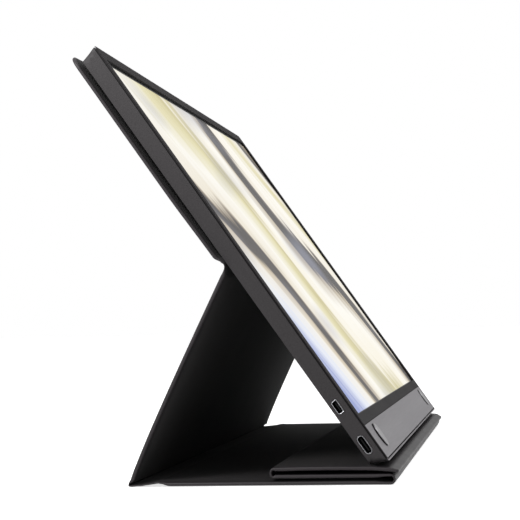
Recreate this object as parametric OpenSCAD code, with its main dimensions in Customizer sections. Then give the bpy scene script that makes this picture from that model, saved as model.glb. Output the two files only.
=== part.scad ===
// Portable monitor standing in its own folding cover.
// X runs along the width, Y from the front to the back, Z up. The origin is the middle of the footprint.
// The monitor's own pieces are drawn lying flat, screen up, with z = 0 on the front face and the bottom
// edge on the X axis. Each cover panel is drawn lying flat with its outer leather on z = 0.

/* [Monitor case] */
// Depth of the side band, from the front face to the back edge
band_t = 8; // [7.8:0.1:10]
// How far the back pan stands out behind the band
pan_rise = 0.5; // [0.3:0.1:0.8]
// How far the back pan starts inside the edge of the band
pan_inset = 3; // [2:0.5:8]
// How far the top and bottom faces lean in from front to back
edge_taper = 3; // [1:0.1:3.6]
// How far the left and right faces lean in from front to back
side_taper = 0.8; // [0.2:0.1:1.2]
// Corner radius seen from the front
corner_r = 2.5; // [2:0.1:4]
// Thickness of the side walls
wall_t = 1.6; // [1.4:0.1:2]
// Thickness of the floor of the back shell
floor_t = 1; // [0.8:0.1:1.2]
// Thickness of the front bezel
bezel_t = 1; // [0.9:0.05:1.2]
// Depth of the lip that locates the bezel in the back shell
lip_h = 1.2; // [0.8:0.1:1.6]
// Thickness of that lip
lip_t = 0.8; // [0.6:0.1:1]

/* [Screen] */
// Width of the picture
screen_w = 344.2; // [320:0.1:346]
// Height of the picture
screen_h = 193.6; // [180:0.1:194]
// Bezel above the picture
top_border = 7.6; // [6.5:0.1:8.5]
// Bezel beside the picture, on each side
side_border = 7.75; // [7:0.05:9]
// Height of the bezel below the picture, which holds the brushed strip
chin_h = 25.2; // [25:0.1:28]
// How far the display glass reaches past the picture at the sides and top
glass_margin = 3; // [2:0.1:3.5]
// How far the display glass reaches past the picture at the bottom
glass_foot = 4.3; // [3.5:0.1:4.6]

/* [Display stack] */
// Thickness of the display glass
glass_t = 1; // [0.8:0.05:1.1]
// Thickness of the diffuser sheets
diffuser_t = 0.3; // [0.2:0.05:0.35]
// Thickness of the light guide
guide_t = 0.6; // [0.4:0.05:0.65]
// Thickness of the reflector sheet
reflector_t = 0.2; // [0.15:0.05:0.25]
// Thickness of the steel tray
tray_t = 0.3; // [0.2:0.05:0.35]
// Width of the strip of lamps below the light guide
led_bar_w = 2; // [1.5:0.1:2.5]
// Number of lamps on that strip
led_count = 36; // [12:1:48]

/* [Metal strip and buttons] */
// Height of the brushed strip
strip_h = 19; // [17:0.1:20]
// Thickness of the brushed strip
strip_t = 0.6; // [0.4:0.05:0.7]
// Bezel left below and beside the strip
strip_rim = 0.7; // [0.5:0.1:1]
// Diameter of both buttons
button_d = 11.7; // [9:0.1:13]
// Distance of each button's centre from its end of the monitor
button_inset = 25; // [20:0.5:40]
// How far the power button stands out of the strip
power_proud = 0.7; // [0.5:0.1:1]
// How far the menu button lies below the face of the strip
menu_sunk = 0.1; // [0:0.05:0.3]
// Travel of both buttons
button_travel = 0.4; // [0.2:0.05:0.5]

/* [Ports] */
// Height of the USB-C socket's middle above the bottom edge
usb_y = 11.7; // [10:0.1:14]
// Width of the USB-C socket
usb_w = 8.94; // [8.8:0.01:9.1]
// Thickness of the USB-C socket
usb_h = 3.26; // [3.1:0.01:3.4]
// Height of the small video socket's middle above the bottom edge
video_y = 31.7; // [24:0.1:36]
// Width of the small video socket
video_w = 6.4; // [6:0.05:6.8]
// Thickness of the small video socket
video_h = 2.9; // [2.6:0.05:3]
// Wall of both sockets
socket_wall = 0.3; // [0.2:0.05:0.4]
// Depth of both sockets
socket_l = 7.3; // [6:0.1:9]

/* [Boards] */
// Thickness of the circuit boards
pcb_t = 0.6; // [0.4:0.1:0.8]
// Length of the main board
main_l = 84; // [70:1:90]
// Height of the main board
main_h = 42; // [40:1:46]
// Length of the display driver board
driver_l = 150; // [120:1:160]
// Height of the display driver board
driver_h = 13; // [10:0.5:14]
// Side of the square board under the menu button
key_board = 14; // [13:0.5:18]

/* [Cover] */
// How far the cover reaches past each side of the monitor
cover_over = 1.5; // [0.5:0.1:4]
// Thickness of a finished panel
cover_t = 2.2; // [2:0.1:2.6]
// Thickness of the outer leather
skin_t = 0.7; // [0.5:0.05:0.9]
// Thickness of the stiffening boards
board_t = 0.9; // [0.7:0.05:1.1]
// Width of the turned hem around each panel
hem_w = 3; // [2:0.5:6]
// Thickness of the soft sheet at the folds
sheet_t = 1; // [0.7:0.1:1.3]
// Corner radius at the top of the back panel
big_r = 8; // [4:0.5:12]
// Corner radius everywhere else
small_r = 1.5; // [1:0.1:3]
// How far the back panel reaches past the top of the monitor
top_over = 3; // [1:0.5:5]
// Length of the base panel
base_l = 100.3; // [92:0.1:110]
// Length of the soft spine between base and leg
spine_l = 14.6; // [12:0.1:18]
// Distance between the front fold and the rear fold
flap_l = 50.2; // [46:0.1:56]
// How far the ledge reaches past the front fold
ledge_over = 5; // [4:0.1:8]
// Gap between the base panel and the flap on it
front_gap = 0.5; // [0.4:0.1:0.9]
// Gap between the flap and the ledge on it
rear_gap = 0.9; // [0.6:0.1:1.2]
// Diameter of the magnets in the back panel
magnet_d = 12; // [8:0.5:16]

/* [Stand] */
// Lean of the screen up from the table, in degrees
tilt = 55.8; // [50:0.1:62]
// Height of the upper fold along the monitor
fold_s = 109.5; // [102:0.1:116]
// Distance of the monitor's foot behind the front fold
foot_y = 8.4; // [5:0.1:14]

/* [Clearances] */
// Gap between the monitor and the cover it rests on
rest_gap = 0.3; // [0.2:0.05:0.5]
// Gap around buttons and sockets
slot_gap = 0.2; // [0.15:0.05:0.3]
// Gap between pieces that lie in or on each other
fit_gap = 0.05; // [0.03:0.01:0.1]
// Distance from each crease to the panels on both sides of it
crease = 3; // [2.5:0.1:4]
// Distance from a half-round fold's middle to the panels it joins
turn_gap = 1; // [0.8:0.1:1.5]

/* [Hidden] */
$fn = 48;

// The case follows from the picture and its borders, and the cover from the case
monitor_w = screen_w + 2 * side_border;
monitor_h = chin_h + screen_h + top_border;
cover_w = monitor_w + 2 * cover_over;

// Colours
shell_grey = "#3f3e40";
strip_grey = "#77787a";
leather_black = "#262527";
lining_black = "#1b1a1c";
pcb_green = "#1d4a38";
steel_grey = "#9a9ca0";

// Depths inside the monitor, all below the front face
back_z = -band_t - pan_rise;
floor_z = back_z + floor_t;
glass_z = -bezel_t - fit_gap;
diffuser_z = glass_z - glass_t;
guide_z = diffuser_z - diffuser_t;
reflector_z = guide_z - guide_t;
tray_z = reflector_z - reflector_t;
tray_back_z = tray_z - tray_t;
pad_h = 0.25;
pcb_back_z = floor_z + pad_h;
pcb_z = pcb_back_z + pcb_t;
usb_z = pcb_z + usb_h / 2;
video_z = pcb_z + video_h / 2;

// Heights up the front
screen_y = chin_h;
glass_y = screen_y - glass_foot;
glass_w = screen_w + 2 * glass_margin;
glass_l = screen_h + glass_foot + glass_margin;
strip_y = strip_rim;
button_y = strip_y + strip_h / 2 + 1;
button_x = monitor_w / 2 - button_inset;

// Button works
flange_t = 0.6;
flange_w = 0.9;
stem_d = 3;
stem_l = 0.5;
plunger_d = 2;
plunger_l = 0.8;
switch_w = 4.5;
key_front_z = -bezel_t - fit_gap;
plunger_z = key_front_z - flange_t - stem_l;
switch_z = plunger_z - 0.1 - button_travel;
switch_pit = plunger_l - 0.1 + fit_gap;

// Main board's place, its edge just inside the side wall
main_x = -monitor_w / 2 + wall_t + 1.2;
main_y = wall_t - edge_taper * pcb_back_z / band_t + 0.5;
driver_x = -driver_l / 3;
driver_y = main_y;
// Sockets: each hollow ends at this depth from the left face, where its tongue is held
socket_floor = socket_l - 0.4;
usb_tongue_at = 1.2;
video_tongue_at = 0.9;
tongue_t = 0.65;

boss_r = 2;
screw_r = 0.8;
screw_head_r = 1.4;
screw_head_h = 0.5;
main_holes = [[main_x + 10, main_y + 14], [main_x + main_l - 4, main_y + 5],
    [main_x + main_l - 4, main_y + main_h - 5], [main_x + 12, main_y + main_h - 4]];
driver_holes = [[driver_x + 4, driver_y + driver_h / 2], [driver_x + driver_l - 4, driver_y + driver_h / 2]];
main_chips = [[20, 26, 10, 10, 0.9], [36, 27, 8, 8, 0.8], [28, 12, 6, 6, 0.8],
    [36, 12, 5, 4, 0.7], [62, 8, 7, 5, 0.9]];
driver_chips = [[30, 3, 7, 6, 0.8], [60, 3, 10, 6, 0.8], [100, 4, 5, 5, 0.7]];
can_place = [50, 19];
can_size = [26, 18, 1.6];
can_wall = 0.2;
film_count = 5;
film_w = 18;
film_t = 0.15;
cable_w = 6;
cable_t = 0.2;
menu_cable_w = 3;
lamp_l = 3;
lamp_end = 12;
pad_w = 3;
pad_l = 8;

// Steel plates in the back shell, one behind each pair of magnets
plate_l = 60;
plate_h = 16;
plate_t = 0.8;

// Panel layers and places
lining_t = cover_t - skin_t - board_t;
hinge_h = sheet_t / 2;
flap_z = cover_t + front_gap;
ledge_z = flap_z + cover_t + rear_gap;
front_axis_z = cover_t + front_gap / 2;
rear_axis_z = flap_z + cover_t + rear_gap / 2;
leg_y = turn_gap + base_l + spine_l;
stack_z = ledge_z + cover_t;

// Where the monitor stands: its back lower edge rests on the ledge, its local origin is the front one
foot = [foot_y, stack_z + rest_gap];
lean = [cos(tilt), sin(tilt)];
face = [-sin(tilt), cos(tilt)];
mon = foot - edge_taper * lean + band_t * face;
cover_z = back_z - rest_gap - cover_t;
upper = mon + fold_s * lean + (cover_z + hinge_h) * face;
leg_run = upper - [leg_y, hinge_h];
leg_l = norm(leg_run);
leg_angle = atan2(leg_run[1], leg_run[0]);
back_l = monitor_h + top_over - fold_s - crease;
top_corner = mon + (monitor_h + top_over) * lean + cover_z * face;
mid_y = (top_corner[0] - ledge_over) / 2;

// Extrude a side profile along X, centred
module across(w) {
    translate([-w / 2, 0, 0]) rotate([90, 0, 90]) linear_extrude(w) children();
}

// Extrude a profile seen from below along Y
module upward(l) {
    translate([0, l, 0]) rotate([90, 0, 0]) linear_extrude(l) children();
}

// Plate centred on X with its own corner radius at each end
module plate(w, l, r0, r1) {
    translate([-w / 2, r0]) square([w, l - r0 - r1]);
    translate([-w / 2 + r0, 0]) square([w - 2 * r0, l / 2]);
    translate([-w / 2 + r1, l / 2]) square([w - 2 * r1, l / 2]);
    for (x = [-1, 1]) {
        translate([x * (w / 2 - r0), r0]) circle(r0);
        translate([x * (w / 2 - r1), l - r1]) circle(r1);
    }
}

module slab(w, l, r0, r1, z0, z1) {
    translate([0, 0, z0]) linear_extrude(z1 - z0) plate(w, l, r0, r1);
}

// Place pieces drawn in the monitor's own flat frame
module on_monitor() {
    translate([0, mon[0] - mid_y, mon[1]]) rotate([tilt, 0, 0]) children();
}

// Place pieces drawn from the lower fold along the leg
module on_leg() {
    translate([0, leg_y - mid_y, hinge_h]) rotate([leg_angle, 0, 0]) translate([0, 0, -hinge_h]) children();
}

// Place pieces drawn from the upper fold along the back panel
module on_back() {
    on_monitor() translate([0, fold_s, cover_z]) children();
}

// Place pieces drawn from the front fold on the table
module on_table() {
    translate([0, -mid_y, 0]) children();
}

// The case's leaning outline, shrunk by inset, between two depths
module leaning_block(inset, z_front, z_back) {
    lean_y = edge_taper / band_t;
    lean_x = side_taper / band_t;
    half = monitor_w / 2 - inset;
    r = max(corner_r - inset, 0.5);
    intersection() {
        across(monitor_w + 2) polygon([
            [inset - lean_y * z_front, z_front], [monitor_h - inset + lean_y * z_front, z_front],
            [monitor_h - inset + lean_y * z_back, z_back], [inset - lean_y * z_back, z_back]]);
        upward(monitor_h) polygon([
            [-half - lean_x * z_front, z_front], [half + lean_x * z_front, z_front],
            [half + lean_x * z_back, z_back], [-half - lean_x * z_back, z_back]]);
        translate([0, inset, 0]) slab(2 * half, monitor_h - 2 * inset, r, r, z_back, z_front);
    }
}

module stadium(w, h) {
    square([w - h, h], center = true);
    for (x = [-1, 1]) translate([x * (w - h) / 2, 0]) circle(d = h);
}

// Video socket outline: its two back corners are cut off
module cut_corners(w, h, cut) {
    polygon([[-w / 2, h / 2], [w / 2, h / 2], [w / 2, cut - h / 2], [w / 2 - cut, -h / 2],
        [cut - w / 2, -h / 2], [-w / 2, cut - h / 2]]);
}

module usb_outline(grow) {
    translate([usb_y, usb_z]) stadium(usb_w + 2 * grow, usb_h + 2 * grow);
}

module video_outline(grow) {
    translate([video_y, video_z]) cut_corners(video_w + 2 * grow, video_h + 2 * grow, 0.9 + grow / 2);
}

// Extrude a socket outline inwards from the left face, starting in by skip
module from_left(skip, l) {
    inset = -side_taper / band_t * usb_z;
    translate([-monitor_w / 2 + inset + skip, 0, 0]) rotate([90, 0, 90]) linear_extrude(l) children();
}

// ---- Monitor case ----

// Bars on the floor of the shell that carry the display tray
module tray_bars() {
    bar_w = 1.2;
    for (y = [0.25, 0.42, 0.66, 0.94])
        translate([-0.42 * monitor_w, y * monitor_h, floor_z - fit_gap])
            cube([0.84 * monitor_w, bar_w, tray_back_z - floor_z]);
}

module board_bosses() {
    for (p = concat(main_holes, driver_holes))
        translate([p[0], p[1], floor_z - fit_gap]) cylinder(r = boss_r, h = pad_h + fit_gap);
    for (x = [-1, 1], dx = [-1, 1])
        translate([x * button_x + dx * (key_board / 2 - 2) - pad_w / 2, button_y - pad_l / 2,
            floor_z - fit_gap]) cube([pad_w, pad_l, pad_h + fit_gap]);
}

module rear_shell() on_monitor() color(shell_grey) difference() {
    union() {
        difference() {
            union() {
                leaning_block(0, -bezel_t - fit_gap, -band_t);
                translate([0, edge_taper + pan_inset, 0])
                    slab(monitor_w - 2 * (side_taper + pan_inset), monitor_h - 2 * (edge_taper + pan_inset),
                        corner_r, corner_r, back_z, -band_t + fit_gap);
            }
            leaning_block(wall_t, 0, floor_z);
        }
        tray_bars();
        board_bosses();
    }
    from_left(-2, 6) usb_outline(slot_gap);
    from_left(-2, 6) video_outline(slot_gap);
    for (p = concat(main_holes, driver_holes))
        translate([p[0], p[1], back_z + 0.3]) cylinder(r = screw_r + fit_gap, h = floor_t + pad_h);
}

module front_bezel() on_monitor() color(shell_grey) difference() {
    union() {
        leaning_block(0, 0, -bezel_t);
        difference() {
            leaning_block(wall_t + slot_gap, -bezel_t + fit_gap, -bezel_t - lip_h);
            leaning_block(wall_t + slot_gap + lip_t, 0, -bezel_t - lip_h - 1);
        }
    }
    translate([0, screen_y - slot_gap, -bezel_t - 1])
        linear_extrude(bezel_t + 2)
            plate(screen_w + 2 * slot_gap, screen_h + 2 * slot_gap, 0.6, 0.6);
    translate([0, strip_y - slot_gap, -strip_t])
        linear_extrude(bezel_t)
            plate(monitor_w - 2 * strip_rim + 2 * slot_gap, strip_h + 2 * slot_gap, 0.6, 0.6);
    for (x = [-1, 1])
        translate([x * button_x, button_y, -bezel_t - 1])
            cylinder(d = button_d + 2 * slot_gap, h = bezel_t + 2);
}

module metal_strip() on_monitor() color(strip_grey) difference() {
    translate([0, strip_y, -strip_t + fit_gap])
        linear_extrude(strip_t - fit_gap) plate(monitor_w - 2 * strip_rim, strip_h, 0.5, 0.5);
    for (x = [-1, 1])
        translate([x * button_x, button_y, -strip_t - 1])
            cylinder(d = button_d + 2 * slot_gap, h = strip_t + 2);
}

module holding_plates() on_monitor() color(steel_grey)
    for (x = [-1, 1])
        translate([x * monitor_w / 4 - plate_l / 2, fold_s + back_l / 2 - plate_h / 2, floor_z + fit_gap])
            cube([plate_l, plate_h, plate_t]);

// ---- Display stack ----

module sheet(inset, foot_gap, z, t) {
    translate([0, glass_y + foot_gap, z - t])
        linear_extrude(t) plate(glass_w - 2 * inset, glass_l - foot_gap - inset, 0.5, 0.5);
}

module display_glass() on_monitor() color("#101114") sheet(0, 0, glass_z, glass_t - fit_gap);

module diffuser_sheet() on_monitor() color("white")
    sheet(tray_t + 0.3, led_bar_w + 1, diffuser_z, diffuser_t - fit_gap);

module light_guide() on_monitor() color("#d8e4ea")
    sheet(tray_t + 0.3, led_bar_w + 1, guide_z, guide_t - fit_gap);

module reflector_sheet() on_monitor() color("white")
    sheet(tray_t + 0.3, tray_t + 0.3, reflector_z, reflector_t - fit_gap);

module panel_tray() on_monitor() color(steel_grey) difference() {
    sheet(0, 0, diffuser_z, diffuser_z - tray_back_z);
    translate([0, 0, diffuser_z - tray_z]) sheet(tray_t, tray_t, tray_z, diffuser_z - tray_z);
}

module led_bar() on_monitor() color("#e8e6da")
    translate([-glass_w / 2 + lamp_end / 2, glass_y + tray_t + 0.2, tray_z + reflector_t])
        cube([glass_w - lamp_end, led_bar_w / 2, guide_t]);

module led_lamps() on_monitor() color("#f4e9a8") {
    pitch = (glass_w - 2 * lamp_end) / led_count;
    for (i = [0 : led_count - 1])
        translate([-glass_w / 2 + lamp_end + (i + 0.5) * pitch - lamp_l / 2,
            glass_y + tray_t + 0.25 + led_bar_w / 2, tray_z + reflector_t + fit_gap])
            cube([lamp_l, led_bar_w / 2 - 0.1, guide_t - 0.1]);
}

// ---- Boards ----

module drilled_board(x, y, l, h, holes) difference() {
    translate([x, y, pcb_back_z]) cube([l, h, pcb_t]);
    for (p = holes) translate([p[0], p[1], pcb_back_z - 1]) cylinder(r = screw_r + 0.1, h = pcb_t + 2);
}

module main_board() on_monitor() color(pcb_green) drilled_board(main_x, main_y, main_l, main_h, main_holes);

module driver_board() on_monitor() color(pcb_green)
    drilled_board(driver_x, driver_y, driver_l, driver_h, driver_holes);

module board_chips() on_monitor() color("#1a1a1c") {
    for (c = main_chips)
        translate([main_x + c[0], main_y + c[1], pcb_z + fit_gap]) cube([c[2], c[3], c[4]]);
    for (c = driver_chips)
        translate([driver_x + c[0], driver_y + c[1], pcb_z + fit_gap]) cube([c[2], c[3], c[4]]);
}

module shield_can() on_monitor() color(steel_grey) difference() {
    place = [main_x + can_place[0], main_y + can_place[1], pcb_z + fit_gap];
    translate(place) cube(can_size);
    translate(place + [can_wall, can_wall, -can_wall]) cube(can_size - [2 * can_wall, 2 * can_wall, 0]);
}

// Thin films that carry the signals from the driver board to the lower edge of the glass
module driver_films() on_monitor() color("#8a5a1e") {
    pitch = (driver_l - 12) / film_count;
    y_board = driver_y + driver_h - 0.4;
    y_glass = glass_y - 0.1;
    for (i = [0 : film_count - 1])
        translate([driver_x + 6 + (i + 0.5) * pitch, 0, 0]) across(film_w) polygon([
            [y_board - 1.6, pcb_z + 0.05], [y_board, pcb_z + 0.05],
            [y_glass - 0.6, tray_back_z - 0.05], [y_glass - 0.6, glass_z - glass_t + 0.1],
            [y_glass, glass_z - glass_t + 0.1], [y_glass, glass_z - glass_t + 0.25],
            [y_glass - 0.75, glass_z - glass_t + 0.25], [y_glass - 0.75, tray_back_z],
            [y_board - 0.1, pcb_z + 0.2], [y_board - 1.6, pcb_z + 0.2]]);
}

module ribbon_cable() on_monitor() color("#c9c6bc") {
    x0 = main_x + main_l - 6;
    translate([x0, main_y + 9, pcb_z + fit_gap]) cube([driver_x + 7 - x0, cable_w, cable_t]);
}

module board_screws() on_monitor() color(steel_grey)
    for (p = concat(main_holes, driver_holes)) translate([p[0], p[1], 0]) {
        translate([0, 0, pcb_z + fit_gap]) cylinder(r = screw_head_r, h = screw_head_h);
        translate([0, 0, back_z + 0.35])
            cylinder(r = screw_r - fit_gap, h = pcb_z + 2 * fit_gap - back_z - 0.35);
    }

// ---- Sockets in the left side ----

module usb_c_socket() on_monitor() color(steel_grey) difference() {
    from_left(0.1, socket_l) usb_outline(-fit_gap);
    from_left(-1, socket_floor + 1) usb_outline(-socket_wall - fit_gap);
}

module usb_c_tongue() on_monitor() color("#161618")
    from_left(usb_tongue_at, socket_floor - usb_tongue_at) translate([usb_y, usb_z])
        square([0.72 * usb_w, tongue_t], center = true);

module video_socket() on_monitor() color(steel_grey) difference() {
    from_left(0.1, socket_l) video_outline(-fit_gap);
    from_left(-1, socket_floor + 1) video_outline(-socket_wall - fit_gap);
}

module video_tongue() on_monitor() color("#161618")
    from_left(video_tongue_at, socket_floor - video_tongue_at) translate([video_y, video_z + 0.2])
        square([0.62 * video_w, tongue_t], center = true);

// ---- Buttons ----

module at_button(side) on_monitor() translate([side * button_x, button_y, 0]) children();

module button_cap(front_z) color(strip_grey) {
    translate([0, 0, key_front_z - fit_gap]) cylinder(d = button_d, h = front_z - key_front_z + fit_gap);
    translate([0, 0, key_front_z - flange_t])
        cylinder(d = button_d + 2 * (slot_gap + flange_w), h = flange_t);
    translate([0, 0, plunger_z]) cylinder(d = stem_d, h = stem_l + fit_gap);
}

module switch_plunger() color("#d0d0d0")
    translate([0, 0, plunger_z - plunger_l]) cylinder(d = plunger_d, h = plunger_l - fit_gap);

module switch_body() color("#222224") difference() {
    low_z = pcb_z + fit_gap;
    translate([-switch_w / 2, -switch_w / 2, low_z]) cube([switch_w, switch_w, switch_z - low_z]);
    translate([0, 0, switch_z - switch_pit]) cylinder(d = plunger_d + 4 * fit_gap, h = switch_pit + 1);
}

module power_button() at_button(-1) button_cap(power_proud);
module power_plunger() at_button(-1) switch_plunger();
module power_switch() at_button(-1) switch_body();
module menu_button() at_button(1) button_cap(-menu_sunk);
module menu_plunger() at_button(1) switch_plunger();
module menu_switch() at_button(1) switch_body();
module menu_board() on_monitor() color(pcb_green)
    translate([button_x - key_board / 2, main_y, pcb_back_z]) cube([key_board, key_board, pcb_t]);

// Flat cable from the driver board to the menu button's board
module menu_cable() on_monitor() color("#c9c6bc") {
    x0 = driver_x + driver_l - 8;
    x1 = button_x - key_board / 2 + 3;
    translate([x0, driver_y + 0.4, pcb_z + fit_gap]) cube([x1 - x0, menu_cable_w, cable_t]);
}

// ---- Cover panels, drawn flat with the outer leather down ----

module panel_leather(l, r0, r1) color(leather_black) difference() {
    slab(cover_w, l, r0, r1, 0, cover_t);
    translate([0, hem_w, 0])
        slab(cover_w - 2 * hem_w, l - 2 * hem_w, max(r0 - hem_w, 0.5), max(r1 - hem_w, 0.5),
            skin_t, cover_t + 1);
}

module panel_board(l, r0, r1) color("#4a4438") translate([0, hem_w + fit_gap, 0])
    slab(cover_w - 2 * hem_w - 2 * fit_gap, l - 2 * hem_w - 2 * fit_gap, max(r0 - hem_w, 0.5),
        max(r1 - hem_w, 0.5), skin_t + fit_gap, skin_t + board_t);

module panel_lining(l, r0, r1) color(lining_black) translate([0, hem_w + fit_gap, 0])
    slab(cover_w - 2 * hem_w - 2 * fit_gap, l - 2 * hem_w - 2 * fit_gap, max(r0 - hem_w, 0.5),
        max(r1 - hem_w, 0.5), cover_t - lining_t + fit_gap, cover_t);

module place_back() on_back() translate([0, crease, 0]) children();
module place_leg() on_leg() translate([0, crease, 0]) children();
module place_base() on_table() translate([0, turn_gap, 0]) children();

// The flap lies upside down on the base, lining down
module place_flap() on_table() translate([0, turn_gap, flap_z + cover_t]) mirror([0, 0, 1]) children();

// The ledge lies on the flap, lining up
module place_ledge() on_table() translate([0, -ledge_over, ledge_z]) children();

module magnet_spots() {
    for (x = [-1, 1], dx = [-0.06, 0.06])
        translate([(x / 4 + dx) * monitor_w, back_l / 2 - crease, 0]) children();
}

leg_panel_l = leg_l - 2 * crease;
flap_panel_l = flap_l - 2 * turn_gap;
ledge_panel_l = flap_l - turn_gap + ledge_over;

module back_leather() place_back() panel_leather(back_l, small_r, big_r);
module back_board() place_back() difference() {
    panel_board(back_l, small_r, big_r);
    magnet_spots() translate([0, 0, -1]) cylinder(d = magnet_d + 4 * fit_gap, h = cover_t + 2);
}
module back_lining() place_back() panel_lining(back_l, small_r, big_r);
module holding_magnets() place_back() color(steel_grey)
    magnet_spots() translate([0, 0, skin_t + fit_gap]) cylinder(d = magnet_d, h = board_t - fit_gap);

module leg_leather() place_leg() panel_leather(leg_panel_l, small_r, small_r);
module leg_board() place_leg() panel_board(leg_panel_l, small_r, small_r);
module leg_lining() place_leg() panel_lining(leg_panel_l, small_r, small_r);

module base_leather() place_base() panel_leather(base_l, small_r, small_r);
module base_board() place_base() panel_board(base_l, small_r, small_r);
module base_lining() place_base() panel_lining(base_l, small_r, small_r);

module flap_leather() place_flap() panel_leather(flap_panel_l, small_r, small_r);
module flap_board() place_flap() panel_board(flap_panel_l, small_r, small_r);
module flap_lining() place_flap() panel_lining(flap_panel_l, small_r, small_r);

module ledge_leather() place_ledge() panel_leather(ledge_panel_l, small_r, small_r);
module ledge_board() place_ledge() panel_board(ledge_panel_l, small_r, small_r);
module ledge_lining() place_ledge() panel_lining(ledge_panel_l, small_r, small_r);

// ---- Soft folds ----

fold_w = cover_w - 2 * small_r;

// Bent sheet at a crease: two strips that meet in a round edge on the hinge line
module crease_strip(l0, l1, angle) across(fold_w) {
    translate([-l0, -hinge_h]) square([l0, sheet_t]);
    rotate(angle) translate([0, -hinge_h]) square([l1, sheet_t]);
    circle(hinge_h);
}

module upper_fold() color(leather_black) on_back() translate([0, 0, hinge_h]) rotate([leg_angle - tilt, 0, 0])
    crease_strip(crease - fit_gap, crease - fit_gap, tilt - leg_angle);

module lower_fold() color(leather_black) on_table() translate([0, leg_y, hinge_h])
    crease_strip(crease - fit_gap, crease - fit_gap, leg_angle);

module spine_strip() color(leather_black) on_table()
    translate([0, turn_gap + base_l + fit_gap, 0])
        slab(fold_w, spine_l - crease - 2 * fit_gap, 0.5, 0.5, 0, sheet_t);

// Half-round turn of the sheet between two stacked panels, with short tails to them
module turn(r, tail) difference() {
    union() {
        intersection() {
            circle(r);
            translate([-r, -r]) square([r, 2 * r]);
        }
        translate([0, -r]) square([tail, 2 * r]);
    }
    circle(r - sheet_t);
    translate([0, sheet_t - r]) square([tail + 1, 2 * (r - sheet_t)]);
}

module front_fold() color(leather_black) on_table() translate([0, 0, front_axis_z])
    across(fold_w) turn(front_axis_z, turn_gap - fit_gap);

module rear_fold() color(lining_black) on_table() translate([0, flap_l, rear_axis_z])
    across(fold_w) mirror([1, 0]) turn(stack_z - rear_axis_z, turn_gap - fit_gap);

rear_shell();
front_bezel();
metal_strip();
display_glass();
diffuser_sheet();
light_guide();
reflector_sheet();
panel_tray();
led_bar();
led_lamps();
main_board();
board_chips();
shield_can();
driver_board();
driver_films();
ribbon_cable();
board_screws();
usb_c_socket();
usb_c_tongue();
video_socket();
video_tongue();
power_button();
power_plunger();
power_switch();
menu_button();
menu_plunger();
menu_switch();
menu_board();
menu_cable();
holding_plates();
back_leather();
back_board();
back_lining();
holding_magnets();
upper_fold();
leg_leather();
leg_board();
leg_lining();
lower_fold();
spine_strip();
base_leather();
base_board();
base_lining();
front_fold();
flap_leather();
flap_board();
flap_lining();
rear_fold();
ledge_leather();
ledge_board();
ledge_lining();
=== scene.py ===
import bpy
import bmesh
from math import sin, cos, pi, radians, hypot, sqrt
from mathutils import Vector, Matrix, noise
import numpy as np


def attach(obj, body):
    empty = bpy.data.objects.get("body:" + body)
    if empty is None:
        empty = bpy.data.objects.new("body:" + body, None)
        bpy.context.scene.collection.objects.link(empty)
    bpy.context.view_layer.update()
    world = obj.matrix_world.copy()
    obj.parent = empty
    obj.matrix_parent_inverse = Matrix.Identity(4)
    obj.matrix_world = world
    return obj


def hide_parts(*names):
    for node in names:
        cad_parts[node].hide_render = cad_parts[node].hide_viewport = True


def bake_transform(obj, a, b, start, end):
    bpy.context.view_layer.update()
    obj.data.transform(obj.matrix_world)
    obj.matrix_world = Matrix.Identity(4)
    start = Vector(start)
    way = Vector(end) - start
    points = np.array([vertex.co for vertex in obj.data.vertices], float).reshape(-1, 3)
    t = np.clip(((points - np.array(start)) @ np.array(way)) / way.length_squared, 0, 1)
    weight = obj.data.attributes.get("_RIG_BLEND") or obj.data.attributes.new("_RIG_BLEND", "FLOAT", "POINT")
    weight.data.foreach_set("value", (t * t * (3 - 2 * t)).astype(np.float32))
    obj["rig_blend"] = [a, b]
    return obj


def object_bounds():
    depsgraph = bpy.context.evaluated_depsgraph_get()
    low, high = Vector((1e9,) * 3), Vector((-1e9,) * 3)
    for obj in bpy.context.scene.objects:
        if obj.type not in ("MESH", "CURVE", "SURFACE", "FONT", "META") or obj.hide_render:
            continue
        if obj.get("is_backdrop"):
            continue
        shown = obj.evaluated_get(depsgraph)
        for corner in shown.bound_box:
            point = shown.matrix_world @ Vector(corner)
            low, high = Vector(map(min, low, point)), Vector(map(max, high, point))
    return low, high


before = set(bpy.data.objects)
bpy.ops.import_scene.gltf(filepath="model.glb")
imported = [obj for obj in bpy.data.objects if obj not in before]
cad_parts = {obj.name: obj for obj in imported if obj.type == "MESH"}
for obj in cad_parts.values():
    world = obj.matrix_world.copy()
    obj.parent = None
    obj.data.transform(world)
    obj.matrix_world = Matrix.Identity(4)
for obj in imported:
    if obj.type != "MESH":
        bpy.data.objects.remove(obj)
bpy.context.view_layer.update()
print("frame loaded,", len(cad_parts), "nodes")

mm = 0.001


def toLinear(hexText):
    parts = [int(hexText[i:i + 2], 16) / 255 for i in (1, 3, 5)]
    return tuple(p / 12.92 if p <= 0.04045 else ((p + 0.055) / 1.055) ** 2.4 for p in parts) + (1.0,)


def smooth(t):
    t = min(max(t, 0.0), 1.0)
    return t * t * (3 - 2 * t)


def mixed(a, b, t):
    return a + (b - a) * smooth(t)


# a node stands for its first output
def outOf(source):
    return source.outputs[0] if hasattr(source, "outputs") else source


# adds one node, with its settings, its fixed inputs and its links
def addNode(tree, kind, settings=None, inputs=None, links=None):
    node = tree.nodes.new("ShaderNode" + kind)
    for key, value in (settings or {}).items():
        if key == "stops":
            ramp = node.color_ramp
            while len(ramp.elements) < len(value):
                ramp.elements.new(0.5)
            for element, (place, colour) in zip(ramp.elements, value):
                element.position = place
                element.color = toLinear(colour)
        else:
            setattr(node, key, value)
    for key, value in (inputs or {}).items():
        node.inputs[key].default_value = value
    for key, source in (links or {}).items():
        tree.links.new(outOf(source), node.inputs[key])
    return node


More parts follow.
